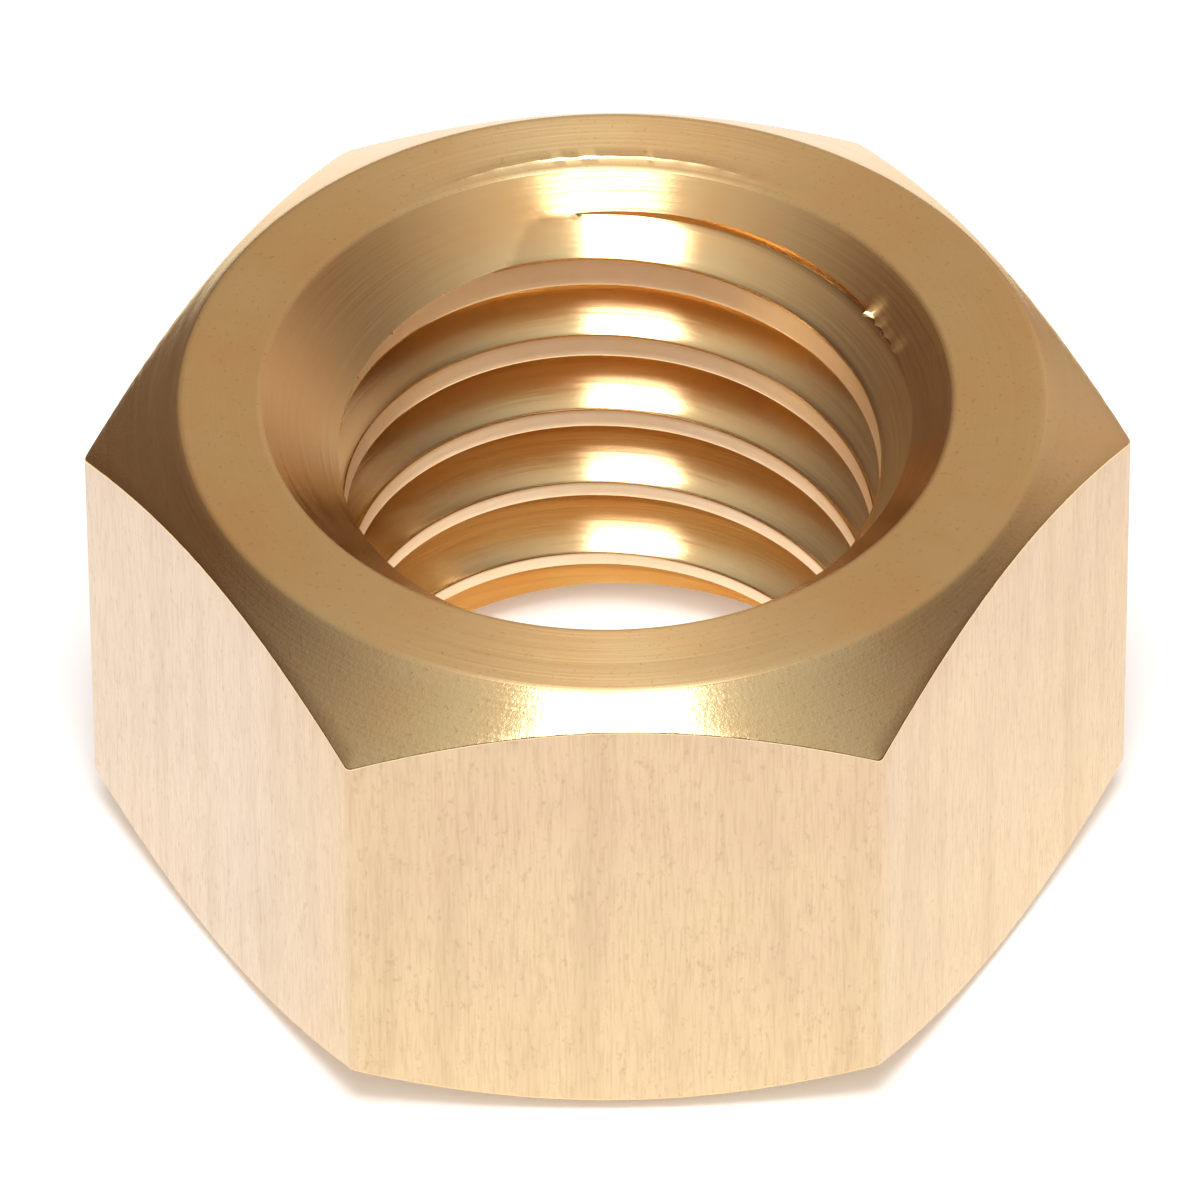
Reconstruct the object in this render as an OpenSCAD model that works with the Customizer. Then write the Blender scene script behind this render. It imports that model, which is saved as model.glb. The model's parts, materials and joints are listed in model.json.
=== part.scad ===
// Finished hexagon nut, 1/2-13 UNC right-hand thread, turned in one piece from hexagon brass bar.
// Origin: centre of the lower bearing face, on the thread axis. +Z runs along the thread axis.
// Two of the wrench flats face -Y and +Y, two of the corners point along -X and +X.

/* [Hexagon body] */
// Distance between two opposite wrench flats
across_flats = 18.8; // [18.4:0.05:19.4]
// Height between the two bearing faces
nut_height = 11.25; // [9.5:0.05:13]

/* [Corner chamfers] */
// Diameter of the circle where each chamfer meets its bearing face
bearing_d = 17.9; // [16.8:0.1:18.2]
// Slope of the chamfer measured from the bearing face, in degrees
chamfer_angle = 33; // [25:1:38]

/* [Thread] */
// Axial distance between neighbouring threads (13 threads to the inch)
pitch = 1.954; // [1.9:0.001:2]
// Diameter at the bottom of the thread groove
major_d = 12.75; // [12.7:0.05:12.9]
// Diameter of the bored hole, where the thread crests end
minor_d = 11; // [10.9:0.05:11.1]
// Angle about the axis at which the thread groove is phased, in degrees
thread_start = 255; // [0:15:345]

/* [Countersinks] */
// Diameter of each countersink where it opens on its bearing face
countersink_d = 14.35; // [13.4:0.05:14.6]
// Full cone angle of each countersink, in degrees
countersink_angle = 110; // [108:1:118]

/* [Hidden] */
eps = 0.01;
round_fn = 96;
thread_fn = 48;
clear = 1;
corner_r = across_flats / 2 / cos(30);
bearing_r = bearing_d / 2;
chamfer_drop = (corner_r + clear - bearing_r) * tan(chamfer_angle);
minor_r = minor_d / 2;
root_r = major_d / 2;
sink_r = countersink_d / 2;
sink_depth = (sink_r - minor_r) / tan(countersink_angle / 2);
flank_tan = tan(30);
root_gap = pitch / 8;
groove_in_r = minor_r - 0.25;
groove_in_gap = root_gap + 2 * (root_r - groove_in_r) * flank_tan;
first_turn = -2;
turns = ceil(nut_height / pitch) + 3;
groove_steps = turns * thread_fn;

// Hexagon bar section with both ends turned down to a cone, so each corner is bevelled.
module chamfered_hexagon() {
    intersection() {
        cylinder(r = corner_r, h = nut_height, $fn = 6);
        rotate_extrude($fn = round_fn)
            polygon([
                [0, 0],
                [bearing_r, 0],
                [corner_r + clear, chamfer_drop],
                [corner_r + clear, nut_height - chamfer_drop],
                [bearing_r, nut_height],
                [0, nut_height]
            ]);
    }
}

// Plain drilled hole at the crest diameter of the thread.
module bore() {
    translate([0, 0, -clear])
        cylinder(r = minor_r, h = nut_height + 2 * clear, $fn = round_fn);
}

// Countersink that opens upward from z = 0.
module countersink() {
    widen = eps * tan(countersink_angle / 2);
    translate([0, 0, -sink_depth])
        cylinder(r1 = minor_r, r2 = sink_r + widen, h = sink_depth + eps, $fn = round_fn);
}

// One four-cornered section of the thread groove at step i of its right-hand helix.
function groove_section(i) =
    let (
        a = thread_start + i * 360 / thread_fn,
        z = (first_turn + i / thread_fn) * pitch
    )
    [
        [groove_in_r * cos(a), groove_in_r * sin(a), z - groove_in_gap / 2],
        [root_r * cos(a), root_r * sin(a), z - root_gap / 2],
        [root_r * cos(a), root_r * sin(a), z + root_gap / 2],
        [groove_in_r * cos(a), groove_in_r * sin(a), z + groove_in_gap / 2]
    ];

// Two triangles for side k of the groove between step i and the next.
function groove_side(i, k) =
    let (a = 4 * i + k, b = 4 * i + (k + 1) % 4)
    [[a, b + 4, a + 4], [a, b, b + 4]];

// Helical groove with sixty-degree flanks and a narrow flat root.
module thread_groove() {
    points = [for (i = [0 : groove_steps]) each groove_section(i)];
    sides = [for (i = [0 : groove_steps - 1], k = [0 : 3]) each groove_side(i, k)];
    last = 4 * groove_steps;
    ends = [
        [0, 2, 1],
        [0, 3, 2],
        [last, last + 1, last + 2],
        [last, last + 2, last + 3]
    ];
    polyhedron(points = points, faces = concat(sides, ends), convexity = 10);
}

// The whole nut, one piece of brass.
module hex_nut() {
    color([0.80, 0.65, 0.38])
        difference() {
            chamfered_hexagon();
            bore();
            translate([0, 0, nut_height])
                countersink();
            mirror([0, 0, 1])
                countersink();
            thread_groove();
        }
}

hex_nut();
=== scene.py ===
"""A brass hexagon nut in full detail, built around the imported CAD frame.

One closed mesh stands for the CAD node: hexagon bar with both ends turned to a bevel, two
bearing faces, a countersink at each end and a right-hand thread cut right through.
Lengths in the shape code are millimetres, and each mesh is scaled to metres as it is made.
"""
import json
import math
from types import SimpleNamespace

import bpy
import numpy as np
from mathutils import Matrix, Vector


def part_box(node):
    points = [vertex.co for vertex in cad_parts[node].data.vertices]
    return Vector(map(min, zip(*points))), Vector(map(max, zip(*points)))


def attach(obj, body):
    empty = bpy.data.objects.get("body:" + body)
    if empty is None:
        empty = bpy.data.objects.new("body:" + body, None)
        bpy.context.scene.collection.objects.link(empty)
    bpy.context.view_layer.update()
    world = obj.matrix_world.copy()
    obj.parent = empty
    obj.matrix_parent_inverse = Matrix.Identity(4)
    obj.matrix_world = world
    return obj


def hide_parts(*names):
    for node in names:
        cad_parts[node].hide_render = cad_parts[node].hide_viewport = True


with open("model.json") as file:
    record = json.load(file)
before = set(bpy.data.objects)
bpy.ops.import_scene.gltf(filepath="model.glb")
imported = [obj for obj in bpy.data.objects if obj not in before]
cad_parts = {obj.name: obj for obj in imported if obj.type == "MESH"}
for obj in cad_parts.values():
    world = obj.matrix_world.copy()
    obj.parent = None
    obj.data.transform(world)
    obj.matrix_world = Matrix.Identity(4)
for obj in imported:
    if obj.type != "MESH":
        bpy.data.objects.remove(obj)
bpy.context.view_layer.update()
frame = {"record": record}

MM = 0.001
NODE = "hex_nut"
TURN = 2 * math.pi

# Sizes of the nut, in millimetres. Its outside and its crest radius come from the frame.
node_low, node_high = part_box(NODE)
FLATS = (node_high.y - node_low.y) / MM
HEIGHT = (node_high.z - node_low.z) / MM
thread_mount = next(m for m in frame["record"]["mounts"] if m["name"] == "thread")
CREST_R = thread_mount["dims"]["r_mm"]
ROOT_R = 6.475
PITCH = 1.954
THREAD_START = math.radians(255)
FLANK = math.radians(30)
ROOT_HALF = PITCH / 16
MOUTH_HALF = ROOT_HALF + (ROOT_R - CREST_R) * math.tan(FLANK)
BEARING_R = 8.94
BEVEL = math.radians(32.9)

# The crests stand a little wide at the top of the hole and a little tight at its bottom.
TOP_CREST_R = CREST_R + 0.22
LOW_CREST_R = CREST_R - 0.23

# The centre of the hexagon's outline, slightly off the thread axis.
BAR_OFFSET = np.array([-0.07, -0.17])

# What differs between the ends: the centres of the turned face and of the countersink, the
# countersink's radius, its slope and how far that slope changes round it, and its burr.
UPPER = SimpleNamespace(seed=11, face=np.array([0.03, 0.12]), mouth=np.array([-0.08, 0.19]),
                        mouth_r=7.18, slope=math.radians(37), tilt=math.radians(10), burr=0.035)
LOWER = SimpleNamespace(seed=23, face=np.zeros(2), mouth=np.zeros(2),
                        mouth_r=7.125, slope=math.radians(31), tilt=0.0, burr=0.0)

# Crumbs of metal where the thread runs out into the upper countersink: angle in degrees,
# then depth below the face, height and width in millimetres.
CRUMBS = [
    (31.0, 0.50, 0.28, 0.11),
    (27.5, 0.56, 0.10, 0.09),
    (24.0, 0.60, 0.08, 0.08),
    (20.0, 0.55, 0.11, 0.10),
    (-1.0, 1.00, 0.08, 0.08),
    (-7.5, 0.80, 0.08, 0.08),
]

# Edge roundings, in millimetres.
CORNER_ROUND = 0.18
BEVEL_EDGE = 0.03
FACE_EDGE = 0.09
MOUTH_EDGE = 0.07
CREST_ROUND = 0.05
ROOT_ROUND = 0.09

# The burr: half its width, how far out from the mouth it stands, and how much farther at the
# back, in millimetres. Then the middle and the reach, in degrees, of its long stretch at the
# back and of its few beads on the left.
BURR_HALF_WIDTH = 0.055
BURR_OUT = 0.07
BURR_BACK_OUT = 0.17
BURR_BACK = (90, 27)
BURR_LEFT = (150, 26)

# Mesh density: columns round the nut, then rows and steps of each stretch of its outline.
EVEN_COLUMNS = 408
CORNER_COLUMNS = np.radians([-0.36, -0.16, 0.16, 0.36])
ROW_LENGTH = 0.13
ROUND_STEPS = 3
FACE_STEPS = 4
BEVEL_STEPS = 5
FLAT_STEPS = 14

# Turns of thread worked out past each end of the nut, which the two mouths cut off.
SPARE_TURNS = 2

# Edges that bend more than this are shaded as sharp.
SHARP_ANGLE = math.radians(30)

# Rows of each end that count as bevel, from the rounding of the face's rim to the flats.
BEVEL_ROWS = 10

# Heights and radii closer than these are taken as equal, in millimetres.
SAME_HEIGHT = 1e-4
SAME_RADIUS = 1e-6

FLAT_SLOT, FACE_SLOT, BEVEL_SLOT, BORE_SLOT, LAND_SLOT = range(5)


# ---- Shape -----------------------------------------------------------------------------------

def ripple(angle, cycles, seed):
    """Smooth uneven wave round the nut, between about -1 and 1, the same every run."""
    draw = np.random.default_rng(seed)
    waves = np.zeros_like(angle)
    for step in range(1, 8):
        count = max(1, round(cycles * (0.4 + 0.3 * step)))
        waves += draw.uniform(0.3, 1.0) * np.sin(count * angle + draw.uniform(0, TURN))
    return waves / 3


def column_angles():
    """One angle for each column of the mesh: even steps, and more over the six rounded corners."""
    even = np.arange(EVEN_COLUMNS) * TURN / EVEN_COLUMNS
    extra = (np.arange(6)[:, None] * TURN / 6 + CORNER_COLUMNS).ravel()
    return np.sort(np.concatenate([even, extra]) % TURN)


ANGLES = column_angles()
OUTWARD = np.stack([np.cos(ANGLES), np.sin(ANGLES)], 1)


def points(plan, z):
    """Points from their places in plan and their height, which may be one number."""
    return np.column_stack([plan, np.broadcast_to(z, len(plan))])


def hexagon_plan():
    """Outline of the hexagon bar in plan, with its six corners rounded."""
    half = FLATS / 2
    off = (ANGLES + TURN / 12) % (TURN / 6) - TURN / 12
    straight = half / np.cos(TURN / 12 - np.abs(off))
    centre = (half - CORNER_ROUND) / math.cos(TURN / 12)
    reach = np.maximum(CORNER_ROUND**2 - (centre * np.sin(off)) ** 2, 0)
    arc = centre * np.cos(off) + np.sqrt(reach)
    tangent = TURN / 12 - math.atan((half - CORNER_ROUND) * math.tan(TURN / 12) / half)
    radius = np.where(np.abs(off) < tangent, arc, straight)
    return BAR_OFFSET + OUTWARD * radius[:, None]


def bend(start, corner, end, steps):
    """Rows of a rounded edge from start to end, with the sharp corner as its control point."""
    rows = []
    for t in np.linspace(0, 1, steps + 1):
        rows.append((1 - t) ** 2 * start + 2 * t * (1 - t) * corner + t * t * end)
    return rows


def between(start, end, steps):
    """Rows strictly between two rows."""
    return [start + (end - start) * t for t in np.linspace(0, 1, steps + 1)[1:-1]]


def circle_radius(centre, radius):
    """Distance from the thread axis to an off-centre circle, for each column."""
    along = OUTWARD @ centre
    return along + np.sqrt(radius**2 - centre @ centre + along**2)


def sink_slope(end):
    """Slope of an end's countersink, for each column."""
    return end.slope - end.tilt * np.sin(ANGLES)


def cone_top(end):
    """Height at which a countersink's cone meets its rounded mouth, as if it were the upper."""
    return HEIGHT - MOUTH_EDGE * np.sin(sink_slope(end))


def burr_zone(middle, reach):
    """1 round one stretch of the mouth, fading to 0 outside it. Both angles are in degrees."""
    return np.exp(-((ANGLES - math.radians(middle)) / math.radians(reach)) ** 4)


def burr_shape():
    """The burr's height, 0 to 1, and how far out from the mouth it stands, in millimetres."""
    back = burr_zone(*BURR_BACK)
    rolled = np.clip(0.85 + 0.25 * ripple(ANGLES, 30, 5), 0.4, 1)
    beads = np.clip(ripple(ANGLES, 60, 7), 0, 1)
    height = back * rolled + 0.3 * burr_zone(*BURR_LEFT) * beads
    return height, BURR_OUT + BURR_BACK_OUT * back


def end_rows(end):
    """Rows of one end, as if it were the upper, from its mouth out to the top of the flats."""
    top = HEIGHT
    edge = circle_radius(end.mouth, end.mouth_r)[:, None]
    soft = MOUTH_EDGE * (1 + 0.3 * ripple(ANGLES, 40, end.seed))[:, None]
    cut = MOUTH_EDGE * np.cos(sink_slope(end))[:, None]
    cone = points(OUTWARD * (edge - cut), cone_top(end))
    mouth = points(OUTWARD * edge, top)
    ledge = points(OUTWARD * (edge + soft), top)
    height, out = burr_shape()
    ridge = points(OUTWARD * (edge + soft + out[:, None]), top + end.burr * height)
    foot = OUTWARD * BURR_HALF_WIDTH
    rim_r = circle_radius(end.face, BEARING_R)[:, None]
    rim = points(OUTWARD * rim_r, top)
    plan = hexagon_plan()
    reach = np.linalg.norm(plan - end.face, axis=1)
    brink = points(plan, top - (reach - BEARING_R) * math.tan(BEVEL))
    down = brink - rim
    down /= np.linalg.norm(down, axis=1)[:, None]
    blunt = BEVEL_EDGE * (1 + 0.5 * ripple(ANGLES, 60, end.seed + 1))[:, None]
    rows = bend(cone, mouth, ledge, ROUND_STEPS)
    rim_in = points(OUTWARD * (rim_r - FACE_EDGE), top)
    rows += [points(ridge[:, :2] - foot, top), ridge, points(ridge[:, :2] + foot, top)]
    rows += between(rows[-1], rim_in, FACE_STEPS)
    rows += bend(rim_in, rim, rim + FACE_EDGE * down, ROUND_STEPS)
    rows += between(rows[-1], brink - blunt * down, BEVEL_STEPS)
    rows += bend(brink - blunt * down, brink, brink - blunt * [0, 0, 1], ROUND_STEPS)
    return rows


def flipped(rows):
    """The same rows at the nut's other end, in the opposite order."""
    return [np.column_stack([row[:, :2], HEIGHT - row[:, 2]]) for row in reversed(rows)]


def rounded_path(corners, cuts):
    """A path with each inner corner cut back by its length and bent round."""
    path = [corners[0]]
    for before, corner, after, cut in zip(corners, corners[1:], corners[2:], cuts):
        back = (before - corner) / np.linalg.norm(before - corner)
        ahead = (after - corner) / np.linalg.norm(after - corner)
        path += bend(corner + cut * back, corner, corner + cut * ahead, 2)
    return path + [corners[-1]]


def split_long(path):
    """The path with every stretch over the row length divided evenly."""
    fine = [path[0]]
    for start, end in zip(path, path[1:]):
        count = max(1, math.ceil(np.linalg.norm(end - start) / ROW_LENGTH))
        fine += between(start, end, count) + [end]
    return np.array(fine)


def thread_profile():
    """Height and radius along one pitch, from the middle of one crest to the next."""
    corners = [(-PITCH / 2, CREST_R), (-MOUTH_HALF, CREST_R), (-ROOT_HALF, ROOT_R)]
    corners += [(ROOT_HALF, ROOT_R), (MOUTH_HALF, CREST_R), (PITCH / 2, CREST_R)]
    cuts = [CREST_ROUND, ROOT_ROUND, ROOT_ROUND, CREST_ROUND]
    return split_long(rounded_path(np.array(corners), cuts))[:-1]


def flare(z, offset, radius):
    """Thread rows with their crests moved to the hole's own radius at that height.

    The groove's root stays and its flanks keep their slope, so a tighter hole has narrower
    crests. Offset is a row's height above the middle of its groove."""
    crest = LOW_CREST_R + (TOP_CREST_R - LOW_CREST_R) * (z / HEIGHT) * np.abs(z / HEIGHT)
    stretch = (ROOT_R - crest) / (ROOT_R - CREST_R)
    new_mouth = ROOT_HALF + (MOUTH_HALF - ROOT_HALF) * stretch
    away = np.abs(offset)
    on_flank = ROOT_HALF + (away - ROOT_HALF) * stretch
    crest_share = (PITCH / 2 - new_mouth) / (PITCH / 2 - MOUTH_HALF)
    on_crest = PITCH / 2 - (PITCH / 2 - away) * crest_share
    past_root = np.where(away <= MOUTH_HALF, on_flank, on_crest)
    moved = np.where(away <= ROOT_HALF, away, past_root)
    return z + np.sign(offset) * (moved - away), ROOT_R - (ROOT_R - radius) * stretch


def crumb_height(z):
    """How far the crumbs of metal stand in toward the axis."""
    total = np.zeros_like(z)
    for angle, root_shade, height, width in CRUMBS:
        swing = (ANGLES - math.radians(angle) + math.pi) % TURN - math.pi
        across = (swing * ROOT_R)[:, None]
        total += height * np.exp(-(across**2 + (z - HEIGHT + root_shade) ** 2) / width**2)
    return total


def bore_rows():
    """Height and radius of the thread and both cones, one line per column, one entry per row.

    The rows climb with the thread, so row q at a full turn is row q + one pitch at the start."""
    profile = thread_profile()
    turns = math.ceil(HEIGHT / PITCH) + 2 * SPARE_TURNS
    height = np.concatenate([profile[:, 0] + PITCH * (n - SPARE_TURNS) for n in range(turns)])
    z = height[None, :] + PITCH * ((ANGLES - THREAD_START) / TURN)[:, None]
    offset, radius = np.tile(profile.T, turns)
    z, thread = flare(z, offset[None, :], radius[None, :])
    upper = circle_radius(UPPER.mouth, UPPER.mouth_r)[:, None]
    lower = circle_radius(LOWER.mouth, LOWER.mouth_r)[:, None]
    upper_cone = upper - (HEIGHT - z) / np.tan(sink_slope(UPPER))[:, None]
    lower_cone = lower - z / np.tan(sink_slope(LOWER))[:, None]
    cone = np.maximum(upper_cone, lower_cone)
    keen = snap_crossings(z, thread, cone)
    on_crest = np.tile(profile[:, 1], turns) < CREST_R + SAME_RADIUS
    land = on_crest[None, :] & (thread > cone - SAME_RADIUS)
    return z, np.maximum(thread, cone) - crumb_height(z), keen, land, len(profile)


def snap_crossings(z, thread, cone):
    """Moves the nearest row onto each line where the thread runs out into a cone."""
    gap = thread - cone
    keen = np.zeros(z.shape, bool)
    turn, row = np.nonzero(gap[:, :-1] * gap[:, 1:] < 0)
    part = gap[turn, row] / (gap[turn, row] - gap[turn, row + 1])
    near = row + (part > 0.5)
    for grid in (z, thread, cone):
        grid[turn, near] = grid[turn, row] + part * (grid[turn, row + 1] - grid[turn, row])
    keen[turn, near] = True
    return keen


class Skin:
    """Collects the nut's points and faces."""

    def __init__(self):
        self.points = []
        self.faces = []
        self.slots = []

    def add_row(self, row):
        first = len(self.points)
        self.points += list(row)
        return np.arange(first, first + len(row))

    def add_face(self, corners, slot):
        kept = [c for i, c in enumerate(corners) if c != corners[i - 1]]
        if len(kept) > 2:
            self.faces.append(kept)
            self.slots.append(slot)

    def add_band(self, inner, outer, slot):
        """Faces between two rows of point numbers."""
        for a, b, c, d in zip(inner, np.roll(inner, -1), np.roll(outer, -1), outer):
            self.add_face([a, d, c, b], slot)


def add_outside(skin):
    """Both ends and the flats. Returns the rows of points at the upper and the lower mouth."""
    upper = end_rows(UPPER)
    lower = flipped(end_rows(LOWER))
    flats = between(upper[-1], lower[0], FLAT_STEPS)
    rows = [skin.add_row(row) for row in upper + flats + lower]
    face, bevel = len(upper) - BEVEL_ROWS, BEVEL_ROWS - 1
    slots = [FACE_SLOT] * face + [BEVEL_SLOT] * bevel + [FLAT_SLOT] * (len(flats) + 1)
    slots += [BEVEL_SLOT] * bevel + [FACE_SLOT] * face
    for inner, outer, slot in zip(rows, rows[1:], slots):
        skin.add_band(inner, outer, slot)
    return rows[0], rows[-1]


def add_bore(skin, upper, lower):
    """The countersinks and the thread, joined to the two mouths."""
    z, radius, keen, land, per_pitch = bore_rows()
    above = z >= cone_top(UPPER)[:, None] - SAME_HEIGHT
    below = z <= HEIGHT - cone_top(LOWER)[:, None] + SAME_HEIGHT
    number = np.where(above, upper[:, None], lower[:, None])
    inside = ~above & ~below
    places = np.stack([OUTWARD[:, :1] * radius, OUTWARD[:, 1:] * radius, z], 2)
    number[inside] = skin.add_row(places[inside])
    first = np.roll(number[:1], -per_pitch, 1)
    first[:, -per_pitch:] = upper[0]
    number = np.concatenate([number, first])
    keen = np.concatenate([keen, np.roll(keen[:1], -per_pitch, 1)])
    land = np.concatenate([land, np.roll(land[:1], -per_pitch, 1)])
    land = land[:-1, :-1] & land[1:, :-1] & land[:-1, 1:] & land[1:, 1:]
    for j in range(len(z)):
        for q in range(z.shape[1] - 1):
            a, b = number[j, q], number[j, q + 1]
            d, c = number[j + 1, q], number[j + 1, q + 1]
            if a == b and c == d:
                continue
            slot = LAND_SLOT if land[j, q] else BORE_SLOT
            if keen[j, q] and keen[j + 1, q + 1]:
                skin.add_face([a, b, c], slot)
                skin.add_face([a, c, d], slot)
            elif keen[j, q + 1] and keen[j + 1, q]:
                skin.add_face([a, b, d], slot)
                skin.add_face([b, c, d], slot)
            else:
                skin.add_face([a, b, c, d], slot)


def build_nut(materials):
    """The whole nut as one closed mesh object."""
    skin = Skin()
    upper, lower = add_outside(skin)
    add_bore(skin, upper, lower)
    mesh = bpy.data.meshes.new("hex_nut_body")
    mesh.from_pydata(np.array(skin.points) * MM, [], skin.faces)
    mesh.polygons.foreach_set("material_index", skin.slots)
    mesh.polygons.foreach_set("use_smooth", [True] * len(skin.faces))
    mesh.set_sharp_from_angle(angle=SHARP_ANGLE)
    for material in materials:
        mesh.materials.append(material)
    mesh.validate()
    nut = bpy.data.objects.new("hex_nut_body", mesh)
    bpy.context.scene.collection.objects.link(nut)
    return nut


# ---- Materials -------------------------------------------------------------------------------

class Nodes:
    """A short way to write a material's node tree."""

    def __init__(self, name):
        self.material = bpy.data.materials.new(name)
        self.material.use_nodes = True
        self.tree = self.material.node_tree
        self.shader = self.tree.nodes["Principled BSDF"]
        self.place = self.add("ShaderNodeTexCoord").outputs["Object"]

    def add(self, kind, inputs=(), **settings):
        node = self.tree.nodes.new(kind)
        for key, value in settings.items():
            setattr(node, key, value)
        for key, value in dict(inputs).items():
            self.put(node.inputs[key], value)
        return node

    def put(self, socket, value):
        if isinstance(value, bpy.types.NodeSocket):
            self.tree.links.new(value, socket)
        else:
            socket.default_value = value

    def math(self, operation, a, b=0.0, clamp=False):
        node = self.add("ShaderNodeMath", {0: a, 1: b}, operation=operation, use_clamp=clamp)
        return node.outputs[0]

    def parts(self, vector):
        return self.add("ShaderNodeSeparateXYZ", {0: vector}).outputs

    def round_axis(self):
        """The point's x and y, and its distance from the thread axis."""
        x, y, _ = self.parts(self.place)
        squares = self.math("ADD", self.math("MULTIPLY", x, x), self.math("MULTIPLY", y, y))
        return x, y, self.math("SQRT", squares)

    def vector(self, x, y, z):
        return self.add("ShaderNodeCombineXYZ", {0: x, 1: y, 2: z}).outputs[0]

    def scaled(self, vector, factors):
        node = self.add("ShaderNodeVectorMath", {0: vector, 1: factors}, operation="MULTIPLY")
        return node.outputs[0]

    def noise(self, vector, scale, detail=2.0, roughness=0.5):
        inputs = {"Vector": vector, "Scale": scale, "Detail": detail, "Roughness": roughness}
        return self.add("ShaderNodeTexNoise", inputs).outputs["Fac"]

    def remap(self, value, low, high, to_low, to_high):
        inputs = {0: value, 1: low, 2: high, 3: to_low, 4: to_high}
        return self.add("ShaderNodeMapRange", inputs).outputs[0]

    def mix(self, factor, first, second):
        node = self.add("ShaderNodeMix", data_type="RGBA")
        self.put(node.inputs["Factor"], factor)
        self.put(node.inputs["A"], first)
        self.put(node.inputs["B"], second)
        return node.outputs["Result"]

    def bump(self, height, distance, strength, normal=None):
        inputs = {"Height": height, "Distance": distance, "Strength": strength}
        if normal is not None:
            inputs["Normal"] = normal
        return self.add("ShaderNodeBump", inputs).outputs[0]

    def brushed(self, amount, rotation):
        """Stretches highlights: rotation 0 is round the axis, 0.25 is across the tool marks."""
        self.put(self.shader.inputs["Anisotropic"], amount)
        self.put(self.shader.inputs["Anisotropic Rotation"], rotation)
        tangent = self.add("ShaderNodeTangent", direction_type="RADIAL", axis="Z").outputs[0]
        self.put(self.shader.inputs["Tangent"], tangent)

    def finish(self, colour, roughness, normal):
        self.put(self.shader.inputs["Base Color"], colour)
        self.put(self.shader.inputs["Roughness"], roughness)
        self.put(self.shader.inputs["Normal"], normal)
        self.put(self.shader.inputs["Metallic"], 1.0)
        return self.material


BRASS = (0.88, 0.68, 0.38, 1)
FLAT_BRASS = (0.72, 0.56, 0.35, 1)
PINK_BRASS = (0.68, 0.51, 0.345, 1)
# Paler brass for the painted reflection on the left flats.
PALE_REFLECTION_BRASS = (0.69, 0.57, 0.45, 1)
# Paler brass, painted on the thread's crests as reflection of the bright floor.
PALE_LAND_REFLECTION_BRASS = (0.98, 0.78, 0.56, 1)
# Redder brass, for random film on the turned faces and for painted shade in the thread's grooves.
RED_FILM_AND_SHADE_BRASS = (0.88, 0.55, 0.25, 1)
TARNISH = (0.36, 0.24, 0.13, 1)

# Painted reflection: the flats are palest to the left of the first x and not pale right of the second,
# in metres.
PALE_REFLECTION_SIDE = (-0.0075, -0.0055)


def drawn_brass():
    """The flats, left as the bar was drawn: fine lines along the bar, dull film and pits, with painted
    reflection that makes them pinker towards the top and paler on the left.
    """
    n = Nodes("brass_drawn_flats")
    x, _, z = n.parts(n.place)
    streak = n.noise(n.scaled(n.place, (17000, 17000, 1100)), 1.0, 3.0, 0.6)
    broad = n.noise(n.scaled(n.place, (1500, 1500, 90)), 1.0, 3.0)
    film = n.noise(n.place, 420.0, 5.0, 0.65)
    specks = n.noise(n.scaled(n.place, (1, 1, 0.5)), 8000.0, 3.0, 0.6)
    # Painted reflection: the flats turn pinker and a little darker towards the top, and random film
    # patches add to it.
    reflection_rise = n.remap(z, 0.0, HEIGHT * MM, -0.15, 0.85)
    film_and_reflection = n.math("ADD", reflection_rise, n.remap(film, 0.3, 0.7, -0.4, 0.4), clamp=True)
    colour = n.mix(film_and_reflection, FLAT_BRASS, PINK_BRASS)
    # Painted reflection: the flats turn paler towards the left.
    colour = n.mix(n.remap(x, *PALE_REFLECTION_SIDE, 0.8, 0.0), colour, PALE_REFLECTION_BRASS)
    colour = n.mix(n.remap(streak, 0.45, 0.75, 0.0, 0.3), colour, TARNISH)
    colour = n.mix(n.remap(broad, 0.5, 0.75, 0.0, 0.15), colour, TARNISH)
    colour = n.mix(n.remap(specks, 0.58, 0.72, 0.0, 0.30), colour, TARNISH)
    rough = n.math("ADD", n.remap(broad, 0.3, 0.7, 0.24, 0.33), n.remap(streak, 0, 1, -0.04, 0.04))
    height = n.math("ADD", streak, n.math("MULTIPLY", specks, 0.5))
    n.brushed(0.4, 0.0)
    return n.finish(colour, rough, n.bump(height, 0.00001, 0.3))


def turned_brass(name, low, high, coarse):
    """Metal faced on a lathe: fine rings round the axis, two roughnesses and coarseness of grit."""
    n = Nodes(name)
    x, y, radius = n.round_axis()
    rings = n.noise(n.vector(n.math("MULTIPLY", radius, 19000.0),
                             n.math("MULTIPLY", x, 160.0),
                             n.math("MULTIPLY", y, 160.0)), 1.0, 3.0, 0.6)
    film = n.noise(n.place, 380.0, 4.0, 0.6)
    grit = n.noise(n.place, 9000.0, 2.0, 0.7)
    colour = n.mix(n.remap(film, 0.35, 0.65, 0.0, 0.5), BRASS, RED_FILM_AND_SHADE_BRASS)
    colour = n.mix(n.remap(grit, 0.62, 0.76, 0.0, 0.4), colour, TARNISH)
    rough = n.remap(rings, 0.3, 0.7, low, high)
    height = n.math("ADD", rings, n.math("MULTIPLY", grit, coarse))
    n.brushed(0.75, 0.25)
    return n.finish(colour, rough, n.bump(height, 0.000008, 0.35))


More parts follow.
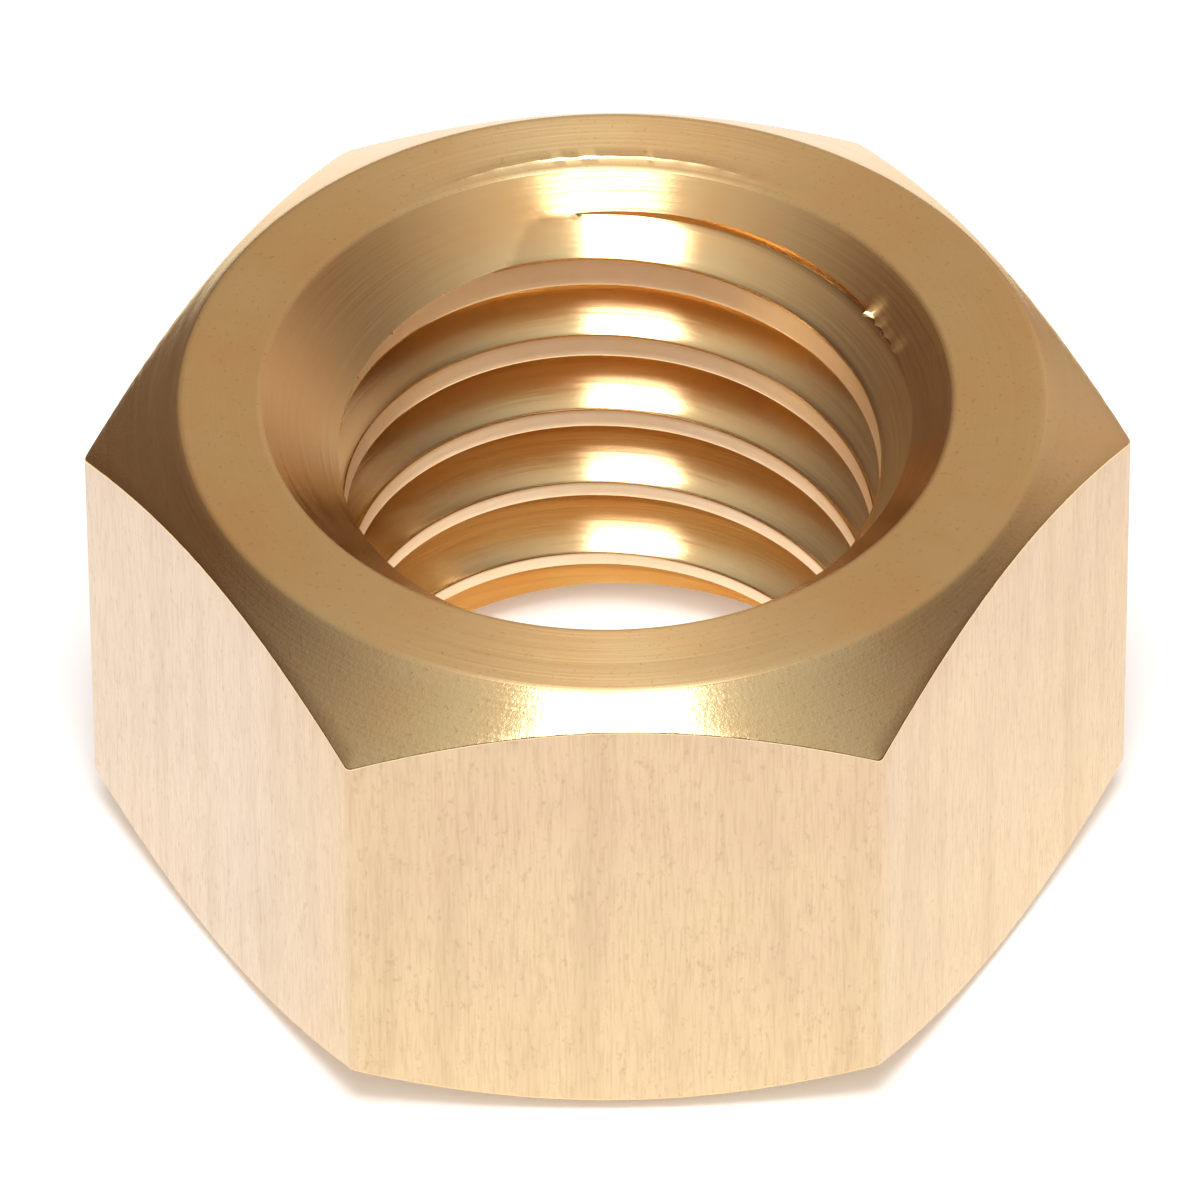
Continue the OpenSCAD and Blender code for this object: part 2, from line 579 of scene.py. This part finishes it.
def threaded_brass():
    """The countersinks and the thread: tool marks that run round the hole, and painted shade towards the
    roots of the grooves.
    """
    n = Nodes("brass_cut_thread")
    x, y, radius = n.round_axis()
    marks = n.noise(n.vector(n.math("MULTIPLY", x, 220.0),
                             n.math("MULTIPLY", y, 220.0),
                             n.math("MULTIPLY", radius, 9000.0)), 1.0, 4.0, 0.6)
    film = n.noise(n.place, 500.0, 3.0, 0.6)
    # Painted shade: redder and darker brass towards the roots of the grooves, and as much on the
    # countersinks beyond the root radius, standing in for light bounced between the flanks; random film
    # adds to it.
    root_shade = n.remap(radius, CREST_R * MM, ROOT_R * MM, 0.0, 0.5)
    shade_and_film = n.math("ADD", root_shade, n.remap(film, 0.35, 0.65, 0.0, 0.4), clamp=True)
    colour = n.mix(shade_and_film, BRASS, RED_FILM_AND_SHADE_BRASS)
    rough = n.remap(marks, 0.3, 0.7, 0.15, 0.22)
    n.brushed(0.85, 0.25)
    return n.finish(colour, rough, n.bump(marks, 0.000016, 0.4))


def bored_brass():
    """The crests of the thread, which are what is left of the drilled hole: duller, and painted paler to
    stand in for the bright floor they reflect.
    """
    n = Nodes("brass_bored_crests")
    film = n.noise(n.place, 900.0, 4.0, 0.6)
    scratches = n.noise(n.scaled(n.place, (2500, 2500, 16000)), 1.0, 3.0, 0.6)
    # Painted reflection: the crests are paler than the rest of the brass, with random film.
    colour = n.mix(n.remap(film, 0.35, 0.65, 0.0, 0.35), PALE_LAND_REFLECTION_BRASS, BRASS)
    rough = n.remap(scratches, 0.3, 0.7, 0.42, 0.54)
    return n.finish(colour, rough, n.bump(scratches, 0.000008, 0.3))


# ---- Studio ----------------------------------------------------------------------------------

FLOOR_HALF = 0.6
SOFTBOX_DISTANCE = 0.6
SOFTBOX_HALF_WIDTH = math.radians(9.6)
SOFTBOX_RISE = math.radians(65)


def make_floor():
    """A plain white floor under the nut."""
    half = FLOOR_HALF
    mesh = bpy.data.meshes.new("floor")
    corners = [(-half, -half, 0), (half, -half, 0), (half, half, 0), (-half, half, 0)]
    mesh.from_pydata(corners, [], [(0, 1, 2, 3)])
    material = bpy.data.materials.new("white_floor")
    material.use_nodes = True
    shader = material.node_tree.nodes["Principled BSDF"]
    shader.inputs["Base Color"].default_value = (0.9, 0.9, 0.91, 1)
    shader.inputs["Roughness"].default_value = 0.9
    shader.inputs["Emission Color"].default_value = (0.97, 0.98, 1, 1)
    shader.inputs["Emission Strength"].default_value = 0.22
    shader.inputs["Specular IOR Level"].default_value = 0.2
    mesh.materials.append(material)
    floor = bpy.data.objects.new("floor", mesh)
    bpy.context.scene.collection.objects.link(floor)


def aim(thing, place, target):
    """Puts a lamp or camera at a place, pointing at the target, with its top upward."""
    thing.location = place
    thing.rotation_euler = (target - place).to_track_quat("-Z", "Y").to_euler()


def make_softbox(name, half_height, radiance):
    """A rectangular softbox over the front of the nut, of the given half height in degrees."""
    lamp = bpy.data.lights.new(name, "AREA")
    lamp.shape = "RECTANGLE"
    lamp.size = 2 * SOFTBOX_DISTANCE * math.tan(SOFTBOX_HALF_WIDTH)
    lamp.size_y = 2 * SOFTBOX_DISTANCE * math.tan(math.radians(half_height))
    lamp.energy = radiance * lamp.size * lamp.size_y * math.pi
    softbox = bpy.data.objects.new(name, lamp)
    bpy.context.scene.collection.objects.link(softbox)
    middle = Vector((0, 0, HEIGHT * MM))
    toward = Vector((0, -math.cos(SOFTBOX_RISE), math.sin(SOFTBOX_RISE)))
    aim(softbox, middle + SOFTBOX_DISTANCE * toward, middle)


def make_world():
    """Dim room light: a warm glow behind, one low behind on the right and a pale one overhead."""
    world = bpy.data.worlds.new("studio")
    bpy.context.scene.world = world
    world.use_nodes = True
    tree = world.node_tree
    background = tree.nodes["Background"]
    coordinate = tree.nodes.new("ShaderNodeTexCoord").outputs["Generated"]
    colour = None
    glows = [
        ((0.0, 0.74, 0.67), 5.0, (0.41, 0.33, 0.22)),
        ((0.62, 0.72, 0.31), 8.0, (0.42, 0.35, 0.29)),
        ((0.0, -0.25, 0.97), 5.0, (0.80, 0.79, 0.71)),
    ]
    base = (0.08, 0.042, 0.036)
    for direction, tightness, tint in glows:
        length = math.sqrt(sum(c * c for c in direction))
        dot = tree.nodes.new("ShaderNodeVectorMath")
        dot.operation = "DOT_PRODUCT"
        tree.links.new(coordinate, dot.inputs[0])
        dot.inputs[1].default_value = [c / length for c in direction]
        lobe = tree.nodes.new("ShaderNodeMath")
        lobe.operation = "POWER"
        clip = tree.nodes.new("ShaderNodeMath")
        clip.operation = "MAXIMUM"
        clip.inputs[1].default_value = 0.0
        tree.links.new(dot.outputs["Value"], clip.inputs[0])
        tree.links.new(clip.outputs[0], lobe.inputs[0])
        lobe.inputs[1].default_value = tightness
        glow = tree.nodes.new("ShaderNodeVectorMath")
        glow.operation = "SCALE"
        glow.inputs[0].default_value = tint
        tree.links.new(lobe.outputs[0], glow.inputs["Scale"])
        total = tree.nodes.new("ShaderNodeVectorMath")
        total.operation = "ADD"
        tree.links.new(glow.outputs[0], total.inputs[0])
        if colour is None:
            total.inputs[1].default_value = base
        else:
            tree.links.new(colour, total.inputs[1])
        colour = total.outputs[0]
    tree.links.new(colour, background.inputs["Color"])


def make_camera():
    """The camera at the photograph's angle: 42 degrees above the floor, in front of one flat."""
    camera = bpy.data.cameras.new("camera")
    camera_object = bpy.data.objects.new("camera", camera)
    bpy.context.scene.collection.objects.link(camera_object)
    azimuth, elevation, roll = math.radians(-0.53), math.radians(42.42), math.radians(-0.36)
    distance = 18.72 * FLATS * MM
    right = Vector((math.cos(azimuth), math.sin(azimuth), 0))
    away = Vector((math.sin(azimuth) * math.cos(elevation),
                   -math.cos(azimuth) * math.cos(elevation),
                   math.sin(elevation)))
    middle = Vector((*BAR_OFFSET, HEIGHT / 2)) * MM
    shift_right, shift_up = -0.0094, 0.008
    middle += FLATS * MM * (shift_right * right + shift_up * away.cross(right))
    aim(camera_object, middle + distance * away, middle)
    camera_object.rotation_euler.rotate_axis("Z", roll)
    nut_share = 0.7507  # of the picture's width, filled by the distance across flats
    camera.sensor_width = 36
    camera.lens = camera.sensor_width * nut_share * distance / (FLATS * MM)
    camera.clip_start = 0.01
    camera.clip_end = 10
    bpy.context.scene.camera = camera_object


# ---- The scene -------------------------------------------------------------------------------

body = build_nut([drawn_brass(), turned_brass("brass_turned_faces", 0.32, 0.40, 0.6),
                  turned_brass("brass_turned_bevels", 0.14, 0.20, 1.1), threaded_brass(), bored_brass()])
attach(body, "root")
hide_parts(NODE)
make_floor()
make_softbox("softbox", 20, 5.0)
make_softbox("softbox_core", 6, 23.0)
make_world()
make_camera()
bpy.context.scene.view_settings.view_transform = "Standard"
